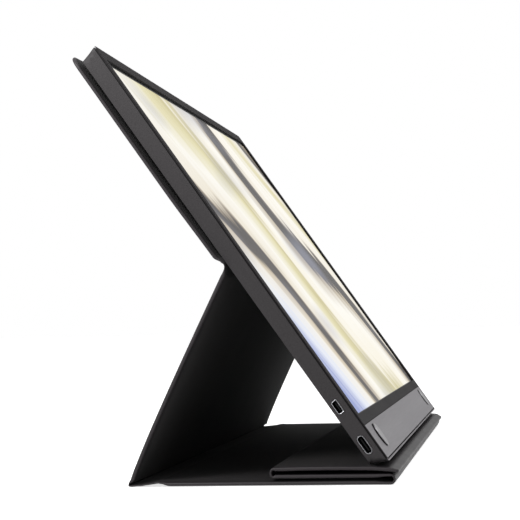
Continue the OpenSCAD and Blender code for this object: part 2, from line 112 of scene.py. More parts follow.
# an empty material with its shader and the piece's own coordinates
def startMaterial(name, fixed):
    material = bpy.data.materials.new(name)
    material.use_nodes = True
    tree = material.node_tree
    tree.nodes.clear()
    shader = addNode(tree, "BsdfPrincipled", inputs=fixed)
    addNode(tree, "OutputMaterial", links={"Surface": shader})
    return material, tree, shader, addNode(tree, "TexCoord").outputs


# gives a shader two tones, roughness and relief, each by its own pattern; edges may be paler, by wear on the
# leather and as a painted highlight on the bezel
def finishSurface(tree, shader, look, toneFrom, roughFrom, reliefFrom):
    (least, most), (strength, depth) = look["rough"], look["relief"]
    stops = list(zip(look["toneAt"], (look["dark"], look["pale"])))
    tone = addNode(tree, "ValToRGB", {"stops": stops}, links={"Fac": toneFrom})
    if "rubbed" in look:
        rubbed = addNode(tree, "Attribute", {"attribute_name": "rubbed"}).outputs["Fac"]
        tone = addNode(tree, "Mix", {"data_type": "RGBA"}, inputs={7: toLinear(look["rubbed"])},
                       links={"Factor": rubbed, 6: tone}).outputs[2]
    rough = addNode(tree, "MapRange", inputs={"To Min": least, "To Max": most}, links={"Value": roughFrom})
    bump = addNode(tree, "Bump", inputs={"Strength": strength, "Distance": depth * mm},
                   links={"Height": reliefFrom})
    for key, source in (("Base Color", tone), ("Roughness", rough), ("Normal", bump)):
        tree.links.new(outOf(source), shader.inputs[key])


# moulded ABS: a spark-eroded mould leaves an even fine grain, so highlights are broad and dull
def makeAbs(name, look):
    material, tree, shader, coords = startMaterial(name, look["fixed"])
    grain, patch = [addNode(tree, "TexNoise", inputs={"Scale": 1 / (size * mm), "Detail": detail},
                            links={"Vector": coords["Object"]}) for size, detail in look["patternMm"]]
    finishSurface(tree, shader, look, grain, patch, grain)
    return material


# brushed and dark anodised aluminium: long fine scratches along X give a soft streak across the light
def makeBrushed(name, look):
    material, tree, shader, coords = startMaterial(name, look["fixed"])
    along, across = 1 / (look["streakMm"] * mm), 1 / (look["lineMm"] * mm)
    stretch = addNode(tree, "Mapping", inputs={"Scale": (along, across, across)},
                      links={"Vector": coords["Object"]})
    lines = addNode(tree, "TexNoise", inputs={"Scale": 1.0, "Detail": 4.0}, links={"Vector": stretch})
    finishSurface(tree, shader, look, lines, lines, lines)
    return material


# coated leather: pressed pebble grain under a satin coat, paler where the edges rub
def makeLeather(name, look):
    material, tree, shader, coords = startMaterial(name, look["fixed"])
    pebble = addNode(tree, "TexVoronoi", inputs={"Scale": 1 / (look["pebbleMm"] * mm)},
                     links={"Vector": coords["Object"]})
    crumple = addNode(tree, "TexNoise", inputs={"Scale": 1 / (look["crumpleMm"] * mm), "Detail": 4.0},
                      links={"Vector": coords["Object"]})
    height = addNode(tree, "Math", {"operation": "MULTIPLY_ADD"}, inputs={1: look["pebbleShare"]},
                     links={0: pebble, 2: crumple})
    finishSurface(tree, shader, look, crumple, crumple, height)
    return material


# microfibre: short brushed nap, no gloss, with faint patches where the nap lies another way
def makeMicrofibre(name, look):
    material, tree, shader, coords = startMaterial(name, look["fixed"])
    nap, lay = [addNode(tree, "TexNoise", inputs={"Scale": 1 / (size * mm), "Detail": detail},
                        links={"Vector": coords["Object"]}) for size, detail in look["patternMm"]]
    finishSurface(tree, shader, look, lay, nap, nap)
    return material


# a plain finish for pieces inside: two tones and a little surface relief
def makePlain(name, look):
    material, tree, shader, coords = startMaterial(name, look["fixed"])
    spots = addNode(tree, "TexNoise", inputs={"Scale": 1 / (look["spotMm"] * mm), "Detail": 3.0},
                    links={"Vector": coords["Object"]})
    finishSurface(tree, shader, look, spots, spots, spots)
    return material


# lit display under a matt polariser film: broad uneven ribbons of blurred light,
# and black glass outside the picture
def makeDisplay(name, look):
    material, tree, shader, coords = startMaterial(name, look["fixed"])
    turn, shape = (0, 0, radians(look["turn"])), (look["shape"], 1, 1)
    turned = addNode(tree, "Mapping", inputs={"Rotation": turn, "Scale": shape},
                     links={"Vector": coords["UV"]})
    bend = addNode(tree, "TexNoise", inputs={"Scale": look["bendScale"], "Detail": 0.0},
                   links={"Vector": turned})
    stretched = addNode(tree, "Mapping", inputs={"Scale": look["streak"]}, links={"Vector": turned})
    streak = addNode(tree, "TexNoise", inputs={"Scale": 1.0, "Detail": 2.0}, links={"Vector": stretched})
    across = addNode(tree, "SeparateXYZ", links={"Vector": turned}).outputs["Y"]
    for pattern, strength in ((bend, look["bend"]), (streak, look["silk"])):
        across = addNode(tree, "Math", {"operation": "MULTIPLY_ADD"}, inputs={1: strength},
                         links={0: pattern, 2: across})
    scaled = addNode(tree, "MapRange", inputs={"From Min": look["from"], "From Max": look["to"]},
                     links={"Value": across})
    ribbons = addNode(tree, "ValToRGB", {"stops": look["stops"]}, links={"Fac": scaled})
    haze = look["haze"]
    patches = addNode(tree, "TexNoise", inputs={"Scale": haze["scale"], "Detail": 1.0},
                      links={"Vector": coords["UV"]})
    share = addNode(tree, "MapRange", links={"Value": patches},
                    inputs={"From Min": haze["from"], "From Max": haze["to"], "To Max": haze["most"]})
    hazy = addNode(tree, "Mix", {"data_type": "RGBA"}, inputs={7: toLinear(haze["tone"])},
                   links={"Factor": share, 6: ribbons})
    corners = addNode(tree, "SeparateXYZ", links={"Vector": coords["UV"]})
    inside = None
    for axis in ("X", "Y"):
        for kind, limit in (("GREATER_THAN", 0.0), ("LESS_THAN", 1.0)):
            test = addNode(tree, "Math", {"operation": kind}, inputs={1: limit},
                           links={0: corners.outputs[axis]})
            if inside:
                test = addNode(tree, "Math", {"operation": "MULTIPLY"}, links={0: inside, 1: test})
            inside = test
    lit = addNode(tree, "Mix", {"data_type": "RGBA"}, inputs={6: (0, 0, 0, 1)},
                  links={"Factor": inside, 7: hazy.outputs[2]})
    tree.links.new(lit.outputs[2], shader.inputs["Emission Color"])
    film = addNode(tree, "TexNoise", inputs={"Scale": 1 / (look["filmMm"] * mm), "Detail": 2.0},
                   links={"Vector": coords["Object"]})
    rough = addNode(tree, "MapRange", inputs={"To Min": look["rough"][0], "To Max": look["rough"][1]},
                    links={"Value": film})
    tree.links.new(outOf(rough), shader.inputs["Roughness"])
    return material


# toneAt: where on its pattern each tone starts;
# patternMm: sizes and detail of the patterns; rough: least and most; relief: strength and depth in mm
caseLook = {"fixed": {"IOR": 1.53, "Specular IOR Level": 0.14}, "dark": "#242223", "pale": "#2d2b2c",
            "rubbed": "#4a4749", "toneAt": (0.3, 0.7), "patternMm": ((0.5, 3.0), (25, 2.0)),
            "rough": (0.5, 0.6), "relief": (0.3, 0.05)}
# the bezel's pale edge colour is a painted highlight on its foot and corners
bezelLook = {**caseLook, "fixed": {"IOR": 1.53, "Specular IOR Level": 0.05}, "dark": "#1c1a1b",
             "pale": "#242223", "rubbed": "#9a979a", "patternMm": ((0.5, 3.0), (30, 2.0)),
             "rough": (0.63, 0.73)}
stripLook = {"fixed": {"Metallic": 0.85, "Anisotropic": 0.2}, "dark": "#646265", "pale": "#747275",
             "toneAt": (0.3, 0.7), "streakMm": 30, "lineMm": 0.35, "rough": (0.49, 0.61),
             "relief": (0.25, 0.02)}
keyLook = {**stripLook, "dark": "#615f62", "pale": "#717072", "streakMm": 12, "lineMm": 0.3,
           "rough": (0.28, 0.4)}
leatherLook = {"fixed": {"IOR": 1.48, "Specular IOR Level": 0.17}, "dark": "#151214", "pale": "#1c191b",
               "rubbed": "#322f31", "toneAt": (0.35, 0.7), "pebbleMm": 0.9, "crumpleMm": 14,
               "pebbleShare": 0.6, "rough": (0.43, 0.57), "relief": (0.3, 0.05)}
napLook = {"fixed": {"Specular IOR Level": 0.08, "Sheen Weight": 0.03, "Sheen Roughness": 0.5},
           "dark": "#0c0a0b", "pale": "#151213", "toneAt": (0.3, 0.75),
           "patternMm": ((0.6, 5.0), (30, 2.0)), "rough": (0.82, 0.95), "relief": (0.4, 0.1)}
pictureLook = {
    "fixed": {"Base Color": toLinear("#050506"), "IOR": 1.5, "Specular IOR Level": 0.03,
              "Emission Strength": 0.9},
    "filmMm": 0.5, "rough": (0.3, 0.38), "turn": 58, "shape": 1.78, "bend": 0.75, "bendScale": 1.2,
    "silk": 0.2, "streak": (0.7, 16, 1), "from": 0.4, "to": 2.5,
    "haze": {"scale": 3.1, "from": 0.52, "to": 0.72, "most": 0.5, "tone": "#8f93a8"},
    "stops": [
        (0.0, "#b9c1e2"), (0.06, "#8694cc"), (0.1, "#dfe4f2"), (0.16, "#f3eee2"), (0.2, "#cdbfa6"),
        (0.215, "#3f3731"), (0.26, "#2a2421"), (0.275, "#8d7f6c"), (0.3, "#e9e1cf"), (0.38, "#f8f5ec"),
        (0.45, "#ddd5a6"), (0.49, "#c4ba84"), (0.52, "#f3eddc"), (0.6, "#f8f5ec"), (0.66, "#b7aa92"),
        (0.675, "#3a3330"), (0.73, "#211d1c"), (0.745, "#5a5049"), (0.76, "#efe8d8"), (0.82, "#f8f5ec"),
        (0.86, "#d8cf9f"), (0.9, "#f3eee0"), (0.93, "#57504b"), (0.95, "#2b2725"), (1.0, "#a89c88")]}
anyPlain = {"fixed": {}, "toneAt": (0.35, 0.65), "rough": (0.24, 0.36), "relief": (0.2, 0.03)}
plainLooks = {
    "nickel plated steel shell": {"fixed": {"Metallic": 1.0}, "dark": "#a6a6aa", "pale": "#bcbcc0",
                                  "spotMm": 2},
    "moulded black resin": {"fixed": {"Specular IOR Level": 0.1}, "dark": "#060606", "pale": "#0b0b0c",
                            "spotMm": 0.7, "rough": (0.54, 0.66)},
    "solder mask on glass fibre": {"dark": "#14402f", "pale": "#1d5440", "spotMm": 1.2,
                                   "rough": (0.29, 0.41)},
    "plated sheet steel": {"fixed": {"Metallic": 1.0}, "dark": "#8d8f93", "pale": "#a8aaae", "spotMm": 3},
    "cast optical sheet": {"dark": "#dfe2e4", "pale": "#f0f2f3", "spotMm": 8},
    "etched polyimide film": {"dark": "#7a4716", "pale": "#96601f", "spotMm": 0.8},
    "extruded ribbon cable": {"dark": "#b9b6ab", "pale": "#cfccc2", "spotMm": 1, "rough": (0.39, 0.51)},
    "silicone lamp dome": {"dark": "#e8d88a", "pale": "#f4ecb4", "spotMm": 1, "rough": (0.19, 0.31)},
    "pressed fibreboard": {"dark": "#5d5342", "pale": "#776b57", "spotMm": 1.5, "rough": (0.79, 0.91)},
}
caseAbs = makeAbs("moulded ABS", caseLook)
bezelAbs = makeAbs("moulded ABS of the bezel", bezelLook)
brushed = makeBrushed("brushed dark anodised aluminium", stripLook)
keyMetal = makeBrushed("turned dark anodised aluminium", keyLook)
leather = makeLeather("coated pebble leather", leatherLook)
microfibre = makeMicrofibre("brushed microfibre", napLook)
display = makeDisplay("lit display under polariser film", pictureLook)
plain = {name: makePlain(name, {**anyPlain, **look}) for name, look in plainLooks.items()}
print("materials made")

# where things are, in millimetres; an axis is a place in the Y-Z plane
stand = {"footY": -66.4714, "footZ": 10.3154, "tilt": 55.8, "legAngle": 115.75,
         "lowAxis": (49.3315, 0.5), "upAxis": (3.76112, 94.9789),
         "frontAxis": (-66.5685, 2.45), "rearAxis": (-16.3685, 5.35), "hingeGap": 1.0,
         "foldAt": 109.5, "coverZ": -11.0, "crease": 3.0, "ledgeFrom": -5.0, "ledgeZ": 5.8}
ledgeForm = {"stand": 0.2, "standFrom": 15, "standOver": 10, "foldOver": 14, "droop": 0.82, "droopOver": 13,
             "tip": 0.95, "tipOver": 3.5, "twist": 0.45, "twistOver": 181, "drawn": 1.2, "drawnOver": 16}
lean = (cos(radians(stand["tilt"])), sin(radians(stand["tilt"])))
legUp = (cos(radians(stand["legAngle"])), sin(radians(stand["legAngle"])))


# the monitor's own flat frame: across, up the screen, out of the screen
def onMonitor(x, s, z):
    return Vector((x, stand["footY"] + s * lean[0] - z * lean[1],
                   stand["footZ"] + s * lean[1] + z * lean[0])) * mm


def onBack(x, s, z):
    return onMonitor(x, stand["foldAt"] + stand["crease"] + s, stand["coverZ"] + z)


def onLeg(x, s, z):
    along, out = s + stand["crease"], z - stand["lowAxis"][1]
    return Vector((x, stand["lowAxis"][0] + along * legUp[0] - out * legUp[1],
                   stand["lowAxis"][1] + along * legUp[1] + out * legUp[0])) * mm


def onBase(x, s, z):
    return Vector((x, stand["frontAxis"][0] + stand["hingeGap"] + s, z)) * mm


def onFlap(x, s, z):
    return Vector((x, stand["frontAxis"][0] + stand["hingeGap"] + s, 2 * stand["frontAxis"][1] - z)) * mm


# its free end is drawn in and hangs a little, and behind the monitor it stands up a little
def onLedge(x, s, z):
    form = ledgeForm
    up = smooth((s - form["standFrom"]) / form["standOver"])
    sway = form["stand"] * up * smooth((panels["ledge"]["length"] - s) / form["foldOver"])
    sway -= form["droop"] * (1 - smooth(s / form["droopOver"]))
    tip = form["tip"] + form["twist"] * x / form["twistOver"]
    sway -= tip * (1 - smooth(s / form["tipOver"]))
    y = stand["frontAxis"][0] + stand["ledgeFrom"] + s + form["drawn"] * (1 - smooth(s / form["drawnOver"]))
    return Vector((x, y, stand["ledgeZ"] + z + sway)) * mm


def addObject(name, data):
    made = bpy.data.objects.new(name, data)
    bpy.context.scene.collection.objects.link(made)
    return made


# degrees from which an edge stays sharp
sharpFrom = {"other": 40, "plate": 50, "panel": 55, "fold": 60, "key": 30}


# turns the faces outwards and marks the edges that turn by more than an angle
def markSharp(work, angle):
    bmesh.ops.recalc_face_normals(work, faces=work.faces)
    for edge in work.edges:
        edge.smooth = not (len(edge.link_faces) == 2 and edge.calc_face_angle(0) > radians(angle))


def finishMesh(work, name, materials):
    mesh = bpy.data.meshes.new(name)
    work.to_mesh(mesh)
    work.free()
    for material in materials:
        mesh.materials.append(material)
    return addObject(name, mesh)


# makes an object of points and faces, shades it smooth and marks its sharp edges
def makePiece(name, points, faces, material, kind="other", rubbed=None):
    mesh = bpy.data.meshes.new(name)
    mesh.from_pydata([tuple(p) for p in points], [], faces)
    work = bmesh.new()
    work.from_mesh(mesh)
    markSharp(work, sharpFrom[kind])
    for face in work.faces:
        face.smooth = True
    work.to_mesh(mesh)
    work.free()
    if rubbed:
        mesh.attributes.new("rubbed", "FLOAT", "POINT").data.foreach_set("value", rubbed)
    mesh.materials.append(material)
    return addObject(name, mesh)


# quads between closed rings of points that follow one another
def ringFaces(rings, around):
    return [(r * around + k, r * around + (k + 1) % around, (r + 1) * around + (k + 1) % around,
             (r + 1) * around + k) for r in range(rings - 1) for k in range(around)]


def settle(piece, body, slotName, *nodes):
    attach(piece, body)
    if nodes:
        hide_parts(*nodes)
    return piece


# camera
cameraAt = {"place": (-842.93, -123.86, 72.37), "yaw": 9.565, "pitch": 2.236, "roll": -1.515, "focal": 1533.0,
            "pixels": 520, "sensor": 36}


def makeCamera():
    yaw, pitch, roll = (radians(cameraAt[k]) for k in ("yaw", "pitch", "roll"))
    ahead = Vector((cos(yaw) * cos(pitch), sin(yaw) * cos(pitch), sin(pitch)))
    flatRight = Vector((sin(yaw), -cos(yaw), 0))
    flatUp = flatRight.cross(ahead)
    right = flatRight * cos(roll) + flatUp * sin(roll)
    up = flatUp * cos(roll) - flatRight * sin(roll)
    data = bpy.data.cameras.new("camera")
    data.sensor_width = cameraAt["sensor"]
    data.lens = cameraAt["focal"] / cameraAt["pixels"] * cameraAt["sensor"]
    data.clip_start, data.clip_end = 0.01, 100
    camera = addObject("camera", data)
    turn = Matrix((right, up, -ahead)).transposed()
    camera.matrix_world = Matrix.Translation(Vector(cameraAt["place"]) * mm) @ turn.to_4x4()
    bpy.context.scene.camera = camera


makeCamera()

# the monitor's back shell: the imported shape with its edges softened; depths are behind the front
shell = {"round": (2.5, 3.4), "roundFrom": 1.2, "roundOver": 3.5, "back": 0.75, "backAt": 7.8, "sideIn": 0.3,
         "footEnd": 8, "footOver": 10, "rimUp": 0.05, "rimAt": 1.3, "rimOver": 0.2, "topUp": 0.3, "topIn": 3,
         "steeper": 0.17, "wallIn": 1, "cutDepths": (1.4, 2.2, 3.2, 4.5, 6.2),
         "cutShares": (0.05, 0.14, 0.27, 0.45, 0.7, 1.0)}
# highlightFoot, highlightCorner and highlightFaint place the bezel's painted highlight
bezel = {"wide": 359.7, "high": 226.4, "round": 2.3, "window": (0, 122.0, 345.4, 195.8, 0.6),
         "pocket": (0, 9.9, 358.3, 17.6, 0.6), "edge": 0.45, "seam": 0.45, "tuck": 0.5, "lean": (0.1, 0.375),
         "deep": 1.0, "step": 0.03, "pocketFloor": 0.62, "windowCut": 0.12, "highlightCorner": 1.4,
         "highlightFoot": 0.8, "highlightFaint": 0.4}
soften = {"merge": 0.002, "sliver": 0.001, "flatWithin": 2, "roundFrom": 35, "steps": 3, "sharpFrom": 32,
          "weight": 80}
edgeSoftness = {  # node: new name, edge radius in mm, material, slot
    "rear_shell": ("backShell", 0.45, caseAbs, "shell_plastic"),
    "usb_c_tongue": ("usbTongue", 0.12, plain["moulded black resin"], "black_resin"),
    "video_tongue": ("videoTongue", 0.12, plain["moulded black resin"], "black_resin"),
}


# the rim reaches up to the seam under the bezel, the band reaches back,
# and its corners grow rounder towards the back
def shapeShell(work):
    origin = onMonitor(0, 0, 0)
    axes = [onMonitor(*step) - origin for step in ((1, 0, 0), (0, 1, 0), (0, 0, 1))]
    half, high, (least, most), topIn = bezel["wide"] / 2, bezel["high"], shell["round"], shell["topIn"]
    cuts = [(axes[2], (0, 0, -depth)) for depth in shell["cutDepths"]]
    for share in shell["cutShares"]:
        cuts += [(axes[0], (sign * (half - share * most), 0, 0)) for sign in (-1, 1)]
        cuts += [(axes[1], (0, s, 0)) for s in (share * most + topIn, high - share * most - topIn)]
    for normal, place in cuts:
        bmesh.ops.bisect_plane(work, geom=work.verts[:] + work.edges[:] + work.faces[:],
                               dist=soften["sliver"] * mm, plane_co=onMonitor(*place), plane_no=normal)
    for vertex in work.verts:
        x, s, z = [(vertex.co - origin).dot(axis) / axis.length_squared for axis in axes]
        along, up = (1 if x > 0 else -1), (1 if s > high / 2 else -1)
        u, v = abs(x) - half - bezel["lean"][0] * z, up * (s - high / 2) - high / 2 - bezel["lean"][1] * z
        if z < -shell["backAt"] and max(u, v) > -shell["sideIn"]:
            # not at the foot, which lies on the spine when the stand is flat
            z -= shell["back"] * smooth((s - shell["footEnd"]) / shell["footOver"])
        if z > -shell["rimAt"]:
            z += shell["rimUp"] * smooth((z + shell["rimAt"]) / shell["rimOver"])
        radius = least + (most - least) * smooth((-z - shell["roundFrom"]) / shell["roundOver"])
        a, b = u + radius, v + radius
        if a > 0 and b > 0:  # the outside takes the full round, what lies within keeps its distance
            pull = (radius if max(u, v) > -shell["wallIn"] else max(a, b)) / hypot(a, b)
            a, b = a * pull, b * pull
        if up > 0 and v > -topIn:  # the top side stands steeper than the bottom one
            b += shell["topUp"] - shell["steeper"] * z
        x = along * (half + bezel["lean"][0] * z + a - radius)
        s = high / 2 + up * (high / 2 + bezel["lean"][1] * z + b - radius)
        vertex.co = onMonitor(x, s, z)


def applyModifiers(piece):
    done = bpy.data.meshes.new_from_object(piece.evaluated_get(bpy.context.evaluated_depsgraph_get()))
    piece.modifiers.clear()
    piece.data = done


def softenEdges(node, name, radius, material, slotName):
    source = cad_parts[node]
    work = bmesh.new()
    work.from_mesh(source.data)
    work.transform(source.matrix_world)
    if node == "rear_shell":
        shapeShell(work)
    bmesh.ops.remove_doubles(work, verts=work.verts, dist=soften["merge"] * mm)
    bmesh.ops.dissolve_limit(work, angle_limit=radians(soften["flatWithin"]), verts=work.verts,
                             edges=work.edges)
    piece = finishMesh(work, name, [material])
    bevel = piece.modifiers.new("edges", "BEVEL")
    bevel.width, bevel.segments = radius * mm, soften["steps"]
    bevel.limit_method, bevel.angle_limit = "ANGLE", radians(soften["roundFrom"])
    bevel.use_clamp_overlap = True
    applyModifiers(piece)
    work = bmesh.new()  # where the rounding was held back it leaves slivers with no area
    work.from_mesh(piece.data)
    bmesh.ops.remove_doubles(work, verts=work.verts, dist=soften["merge"] * mm)
    bmesh.ops.dissolve_degenerate(work, dist=soften["sliver"] * mm, edges=work.edges)
    work.to_mesh(piece.data)
    work.free()
    for face in piece.data.polygons:
        face.use_smooth = True
    piece.data.set_sharp_from_angle(angle=radians(soften["sharpFrom"]))
    flat = piece.modifiers.new("flat faces stay flat", "WEIGHTED_NORMAL")
    flat.keep_sharp, flat.weight = True, soften["weight"]
    applyModifiers(piece)
    return settle(piece, "monitor", slotName, node)


for node, (name, radius, material, slotName) in edgeSoftness.items():
    softenEdges(node, name, radius, material, slotName)
print("case softened")


# flat pieces with openings: bezel, strip and socket shells
# a closed outline that can be asked for larger or smaller
def roundedOutline(x, y, wide, high, radius, steps=8):
    def outline(growX, growY):
        w, h = wide / 2 + growX, high / 2 + growY
        r = max(radius + min(growX, growY), 0.02)
        points = []
        for k, (sx, sy) in enumerate(((1, 1), (-1, 1), (-1, -1), (1, -1))):
            for i in range(steps + 1):
                turn = pi / 2 * (k + i / steps)
                points.append((x + sx * (w - r) + r * cos(turn), y + sy * (h - r) + r * sin(turn)))
        # a side with no length, as on a circle, would leave doubled points
        return [p for p, q in zip(points, points[-1:] + points) if hypot(p[0] - q[0], p[1] - q[1]) > 1e-4]
    return outline


# two of its corners are cut off, as on the small video socket, and each corner becomes a short bend
def cutOutline(x, y, wide, high, cut, bend=0.26):
    def outline(growX, growY):
        w, h, c = wide / 2 + growX, high / 2 + growY, cut + growX / 2
        corners = [(w, h), (-w, h), (-w, c - h), (c - w, -h), (w - c, -h), (w, c - h)]
        points = []
        for k, here in enumerate(corners):
            ends = []
            for other in (corners[k - 1], corners[(k + 1) % len(corners)]):
                share = bend / hypot(other[0] - here[0], other[1] - here[1])
                ends.append([mixed(here[i], other[i], share) for i in (0, 1)])
            middle = [here[i] / 2 + (ends[0][i] + ends[1][i]) / 4 for i in (0, 1)]
            points += [(x + a, y + b) for a, b in (ends[0], middle, ends[1])]
        return points
    return outline


# the same outline, smaller all round by the thickness of a wall
def within(outline, wall):
    return lambda growX, growY: outline(growX - wall, growY - wall)


paintedShadeFrom = 0.3  # a wall deeper than this shows the piece's second material, black resin as painted shade down in the recess


# levels run from back to front: (depth, how far the edges are cut back there);
# the outside may lean in with depth
def makeFaceplate(work, outlines, levels, place, leanIn=(0, 0), holeShare=0.4, paintedHighlight=None):
    worn = work.verts.layers.float["rubbed"]
    rings = []
    for depth, cut in levels:
        row = []
        for k, outline in enumerate(outlines):
            if k == 0:
                flat = outline(-cut + leanIn[0] * depth, -cut + leanIn[1] * depth)
            else:
                flat = outline(cut * holeShare, cut * holeShare)
            row.append([work.verts.new(place(a, b, depth)) for a, b in flat])
            for vertex, (a, b) in zip(row[-1], flat):
                # on the bezel's outer edge this layer holds the painted highlight
                vertex[worn] = paintedHighlight(a, b) if paintedHighlight and k == 0 and depth > levels[1][0] else 0.0
        rings.append(row)
    for step, (row, nextRow) in enumerate(zip(rings, rings[1:])):
        for k, (loop, nextLoop) in enumerate(zip(row, nextRow)):
            for i in range(len(loop)):
                j = (i + 1) % len(loop)
                face = work.faces.new((loop[i], loop[j], nextLoop[j], nextLoop[i]))
                face.smooth = True
                # deep walls of holes and of the tucked seam take black resin: painted shade
                tucked = k > 0 or levels[step][1] > 0
                face.material_index = 1 if tucked and levels[step + 1][0] - levels[step][0] > paintedShadeFrom else 0
    for row in (rings[0], rings[-1]):
        edges = [work.edges.get((loop[i - 1], loop[i])) for loop in row for i in range(len(loop))]
        bmesh.ops.triangle_fill(work, use_beauty=True, use_dissolve=False, edges=edges)


def startPlate():
    work = bmesh.new()
    work.verts.layers.float.new("rubbed")
    return work


def finishPlate(work, name, material, slotName, node):
    markSharp(work, sharpFrom["plate"])
    # the second material, black resin, is painted shade on the deep walls
    piece = finishMesh(work, name, [material, plain["moulded black resin"]])
    return settle(piece, "monitor", slotName, node)


strip = {"wide": 357.9, "high": 17.0, "middle": 10.0, "round": 0.5, "thick": 0.55, "chamfer": 0.18,
         "holeAt": 154.85, "holeUp": 11.2, "hole": 12.1}
sockets = {"face": -179.25, "deep": 7.3, "chamfer": 0.08, "wall": 0.18, "end": 0.4,
           "usb": (11.7, -5.02, 8.84, 3.16, 1.58, 12), "video": (31.7, -5.2, 6.3, 2.8, 0.62)}


def softEdge(front, edge):
    return [(front - edge + edge * sin(t), edge - edge * cos(t)) for t in (0, pi / 6, pi / 3, pi / 2)]


def keyHoles():
    return [roundedOutline(side * strip["holeAt"], strip["holeUp"], strip["hole"], strip["hole"],
                           strip["hole"] / 2, 16) for side in (-1, 1)]


def bezelPaintedHighlight(x, s):  # painted highlight: full along the foot that stands on the ledge, faint on the corners
    corner = hypot(bezel["wide"] / 2 - abs(x), min(s, bezel["high"] - s)) < bezel["highlightCorner"]
    return 1.0 if s < bezel["highlightFoot"] else bezel["highlightFaint"] if corner else 0.0


def makeBezel():
    work = startPlate()
    high = bezel["high"] + shell["topUp"]
    outer = roundedOutline(0, high / 2, bezel["wide"], high, bezel["round"], 10)
    window, pocket = roundedOutline(*bezel["window"]), roundedOutline(*bezel["pocket"])
    levels = [(-depth, bezel["tuck"]) for depth in (bezel["deep"], bezel["seam"] + bezel["step"])]
    makeFaceplate(work, [outer, window, pocket], levels + softEdge(0, bezel["edge"]), onMonitor,
                  bezel["lean"], bezel["windowCut"], bezelPaintedHighlight)
    floorLevels = [(-depth, 0) for depth in (bezel["deep"], bezel["pocketFloor"])]
    makeFaceplate(work, [pocket] + keyHoles(), floorLevels, onMonitor)
    finishPlate(work, "screenBezel", bezelAbs, "shell_plastic", "front_bezel")


def makeStrip():
    work = startPlate()
    outer = roundedOutline(0, strip["middle"], strip["wide"], strip["high"], strip["round"])
    levels = [(-strip["thick"], 0)] + softEdge(0, strip["chamfer"])
    makeFaceplate(work, [outer] + keyHoles(), levels, onMonitor, holeShare=1.0)
    finishPlate(work, "brushedStrip", brushed, "brushed_strip", "metal_strip")


# heights up the side and depths below the front become a socket's own flat frame; its depth runs inwards
def inSide(up, out, depth):
    return onMonitor(sockets["face"] - depth, up, out)


def makeSockets():
    deep = -sockets["deep"]
    levels = [(deep, 0)] + softEdge(0, sockets["chamfer"])
    usb, video = roundedOutline(*sockets["usb"]), cutOutline(*sockets["video"])
    for name, outer, node in (("usbShell", usb, "usb_c_socket"), ("videoShell", video, "video_socket")):
        work = startPlate()
        inner = within(outer, sockets["wall"])
        makeFaceplate(work, [outer, inner], levels, inSide, holeShare=1.0)
        mouthFaces = len(work.faces)  # then the wall at the end, which carries the tongue; it and the mouth's inner walls take black resin as painted shade inside the steel shell
        makeFaceplate(work, [inner], [(deep, 0), (deep + sockets["end"], 0)], inSide)
        # black resin on the end wall: painted shade deep in the socket
        for face in list(work.faces)[mouthFaces:]:
            face.material_index = 1
        finishPlate(work, name, plain["nickel plated steel shell"], "sheet_steel", node)


makeBezel()
makeStrip()
makeSockets()
print("bezel, strip and sockets made")

# display
glass = {"wide": 350.2, "low": 20.2, "high": 221.8, "front": -1.05, "back": -2.0, "edge": 0.2,
         "picture": (-172.1, 24.5, 344.2, 193.0)}


def makeDisplayGlass():
    left, low, wide, high = glass["picture"]
    half, edge = glass["wide"] / 2, glass["edge"]
    rings = [(glass["back"], 0.0), (glass["front"] - edge, 0.0), (glass["front"], edge)]
    points = []
    for depth, inset in rings:
        for sx, sy in ((-1, 0), (1, 0), (1, 1), (-1, 1)):
            points.append((sx * (half - inset), glass["high"] - inset if sy else glass["low"] + inset, depth))
    faces = ringFaces(len(rings), 4) + [(3, 2, 1, 0), (8, 9, 10, 11)]
    piece = makePiece("displayGlass", [onMonitor(*p) for p in points], faces, display)
    layer = piece.data.uv_layers.new(name="picture")
    for loop in piece.data.loops:
        p = points[loop.vertex_index]
        layer.data[loop.index].uv = ((p[0] - left) / wide, (p[1] - low) / high)
    return settle(piece, "monitor", "display", "display_glass")


makeDisplayGlass()

# buttons, turned on a lathe
keys = {"radius": 5.85, "chamfer": 0.3, "dish": ((0, 0.2), (0.5, 0.15)), "brim": (0.4, 0.02), "steps": 96,
        "flange": 6.95, "flangeAt": (-1.05, -1.65), "stem": 1.5, "stemAt": -2.15}


def makeKey(name, side, top, body, node):
    r, c, (brim, sink), (high, low) = keys["radius"], keys["chamfer"], keys["brim"], keys["flangeAt"]
    at, up = side * strip["holeAt"], strip["holeUp"]
    profile = [(r * share, top - sunk) for share, sunk in keys["dish"]]
    profile += [(r - c - brim, top - sink), (r - c, top), (r, top - c), (r, high)]
    profile += [(keys["flange"], high), (keys["flange"], low)]
    profile += [(keys["stem"], low), (keys["stem"], keys["stemAt"]), (0, keys["stemAt"])]
    points, faces, ringAt = [], [], []
    for radius, z in profile:
        ringAt.append(len(points))
        if radius == 0:
            points.append((at, up, z))
            continue
        for i in range(keys["steps"]):
            turn = 2 * pi * i / keys["steps"]
            points.append((at + radius * cos(turn), up + radius * sin(turn), z))
    for k in range(len(profile) - 1):
        a, b, n = ringAt[k], ringAt[k + 1], keys["steps"]
        for i in range(n):
            j = (i + 1) % n
            if profile[k][0] == 0:
                faces.append((a, b + i, b + j))
            elif profile[k + 1][0] == 0:
                faces.append((a + i, b, a + j))
            else:
                faces.append((a + i, b + i, b + j, a + j))
    piece = makePiece(name, [onMonitor(*p) for p in points], faces, keyMetal, "key")
    piece.data.materials.append(plain["moulded black resin"])
    wall = profile.index((r, top - c))
    for face in piece.data.polygons:
        if min(face.vertices) >= ringAt[wall]:  # the wall and flange under the cap take black resin, painted shade on the key's side wall
            face.material_index = 1
    return settle(piece, body, "brushed_strip", node)


makeKey("powerKey", -1, 0.9, "power_key", "power_button")
makeKey("menuKey", 1, 0.65, "menu_key", "menu_button")
print("display and keys made")

